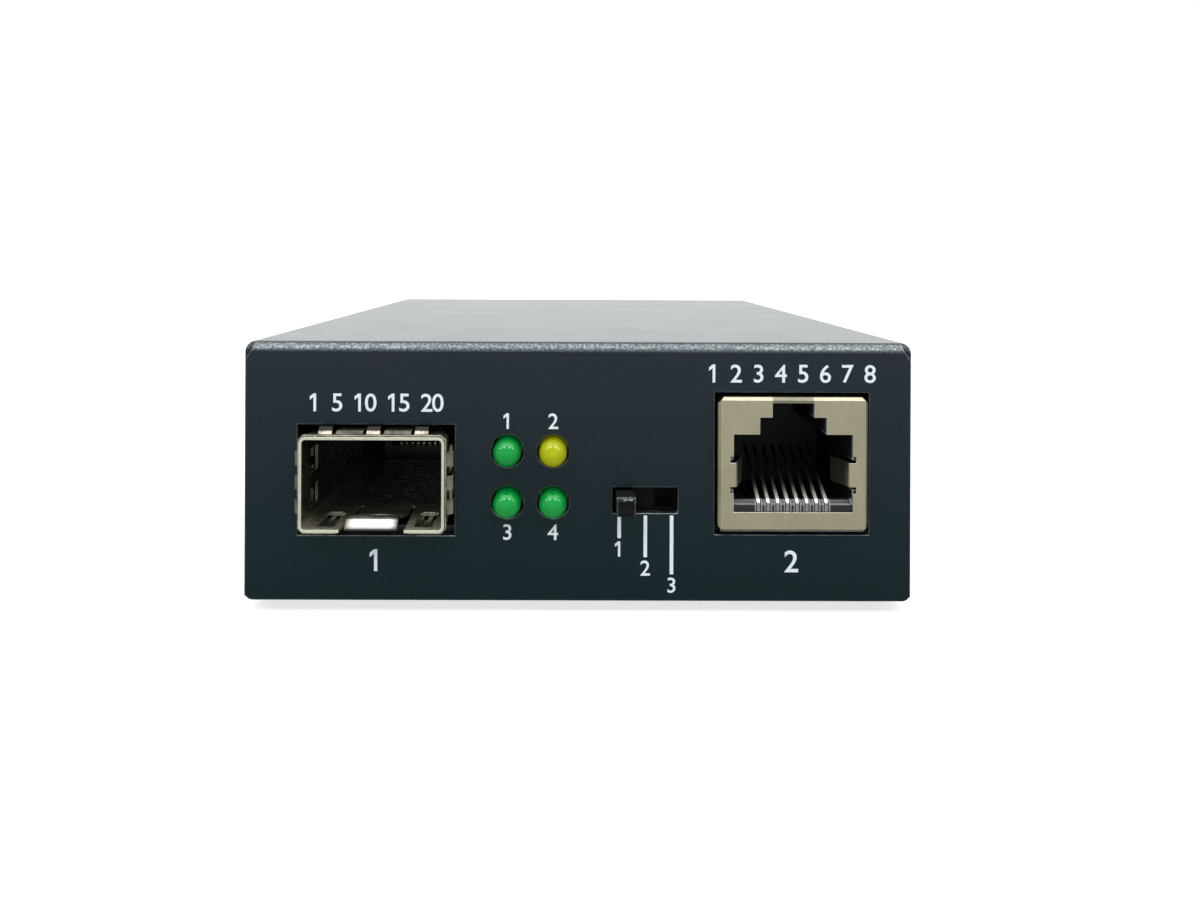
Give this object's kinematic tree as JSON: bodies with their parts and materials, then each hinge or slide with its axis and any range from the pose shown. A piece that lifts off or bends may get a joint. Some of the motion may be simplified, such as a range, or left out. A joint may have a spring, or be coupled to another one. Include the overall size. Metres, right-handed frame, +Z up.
{
  "type": "fibre media converter",
  "caption": "Small folded-sheet network converter with a pluggable-transceiver bay, network socket, indicator lamps, slide switch and rear power inlet.",
  "frame": {"origin": "middle of the rectangle that the object stands in, at the level of the feet's undersides", "axes": "+X to the right seen from the front, +Y from the front panel to the rear, +Z up"},
  "size_m": [0.071, 0.097, 0.0287],
  "materials": {
    "powder_coat": "fine-textured satin powder coat",
    "black_zinc": "black zinc-plated steel",
    "plated_steel": "zinc-plated steel",
    "foot_rubber": "matt black rubber",
    "board_green": "glass-epoxy board under green solder resist",
    "cage_nickel": "nickel-plated cage sheet",
    "spring_steel": "bright spring steel",
    "shield_nickel": "warm satin nickel",
    "black_plastic": "glass-filled black plastic",
    "knob_plastic": "black acetal, edges worn bright",
    "switch_phenolic": "brown phenolic",
    "contact_gold": "gold-flashed contact",
    "tin_lead": "tinned wire",
    "lamp_green": "green diffused epoxy",
    "lamp_yellow": "yellow diffused epoxy",
    "chip_epoxy": "black moulding compound",
    "sink_aluminium": "extruded aluminium",
    "inductor_ferrite": "grey ferrite composite",
    "capacitor_sleeve": "aluminium can",
    "crystal_can": "tinned can"
  },
  "bodies": {
    "case": {"cover": "powder_coat", "base": "powder_coat", "cover_screws": "black_zinc", "standoffs": "plated_steel", "board_screws": "plated_steel", "circuit_board": "board_green", "transceiver_cage": "cage_nickel", "cage_spring_collar": "spring_steel", "cage_connector": "black_plastic", "cage_connector_contacts": "contact_gold", "lan_jack_shield": "shield_nickel", "lan_jack_housing": "black_plastic", "lan_jack_contacts": "contact_gold", "lan_transformer": "chip_epoxy", "lamp_lower_left": "lamp_green", "lamp_lower_right": "lamp_green", "lamp_upper_left": "lamp_green", "lamp_upper_right": "lamp_yellow", "lamp_holder": "black_plastic", "lamp_leads": "tin_lead", "switch_frame": "plated_steel", "switch_base": "switch_phenolic", "switch_terminals": "tin_lead", "power_inlet_housing": "black_plastic", "power_inlet_pin": "tin_lead", "power_inlet_spring": "tin_lead", "main_chip": "chip_epoxy", "heat_sink": "sink_aluminium", "power_controller_chip": "chip_epoxy", "power_inductor": "inductor_ferrite", "capacitor_large": "capacitor_sleeve", "capacitor_small": "chip_epoxy", "crystal": "crystal_can", "power_transistors": "chip_epoxy", "foot_front_left": "foot_rubber", "foot_front_right": "foot_rubber", "foot_rear_left": "foot_rubber", "foot_rear_right": "foot_rubber"},
    "slider": {"switch_knob": "knob_plastic", "switch_contact": "contact_gold"}
  },
  "joints": [
    {"name": "switch_slide", "type": "slide", "parent": "case", "child": "slider", "axis": [1, 0, 0], "range_m": [0, 0.004]}
  ]
}
